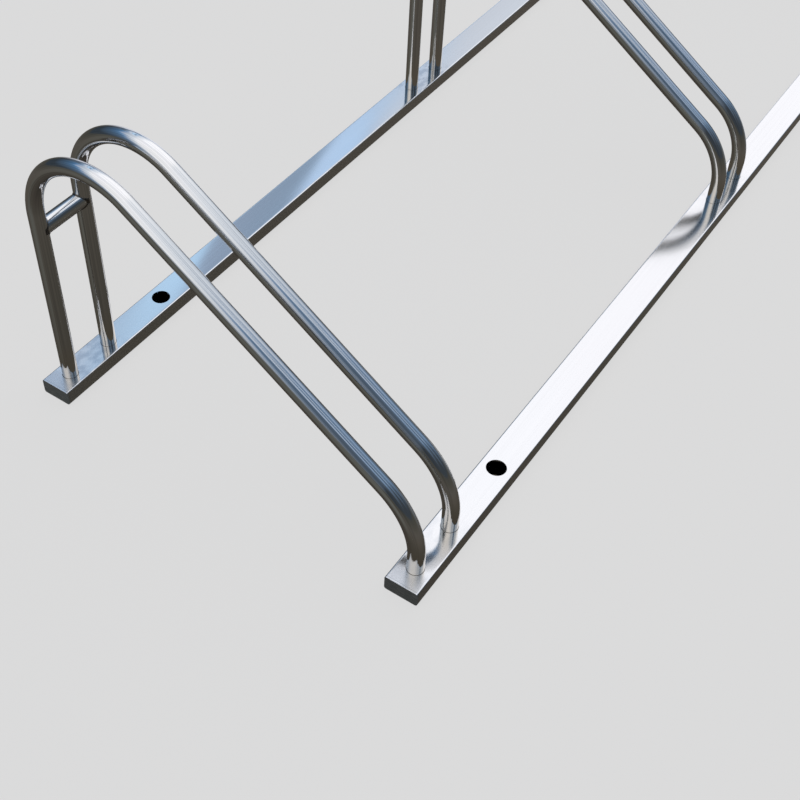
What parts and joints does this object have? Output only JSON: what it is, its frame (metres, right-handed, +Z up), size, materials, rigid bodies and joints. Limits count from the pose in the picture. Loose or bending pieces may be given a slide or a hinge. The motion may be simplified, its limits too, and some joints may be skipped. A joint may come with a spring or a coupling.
{
  "type": "hoop bike rack",
  "caption": "Floor-mounted bike rack: paired bent tube hoops rise from two box rails, each pair joined by a short crossbar and leaving a slot for a bicycle wheel.",
  "frame": {"origin": "on the floor under the rack, midway along and across it", "axes": "+X along the rails, +Y from the short legs to the tall legs, +Z up"},
  "size_m": [1.6, 0.52, 0.3534],
  "materials": {
    "tube_steel": "bright-drawn stainless tube, polished lengthwise",
    "rail_steel": "bright-rolled stainless box section, fine lengthwise grain",
    "end_plate_steel": "stainless plate with its edge ground flush",
    "weld_steel": "pickled stainless weld, ground where it shows"
  },
  "bodies": {
    "root": {"rail_front": "rail_steel", "rail_back": "rail_steel", "end_plate_front_left": "end_plate_steel", "end_plate_front_right": "end_plate_steel", "end_plate_back_left": "end_plate_steel", "end_plate_back_right": "end_plate_steel", "hoop_1_left": "tube_steel", "hoop_1_right": "tube_steel", "hoop_2_left": "tube_steel", "hoop_2_right": "tube_steel", "hoop_3_left": "tube_steel", "hoop_3_right": "tube_steel", "crossbar_1": "tube_steel", "crossbar_2": "tube_steel", "crossbar_3": "tube_steel", "bar_welds_1": "weld_steel", "bar_welds_2": "weld_steel", "bar_welds_3": "weld_steel", "foot_welds_1": "weld_steel", "foot_welds_2": "weld_steel", "foot_welds_3": "weld_steel"}
  },
  "joints": []
}
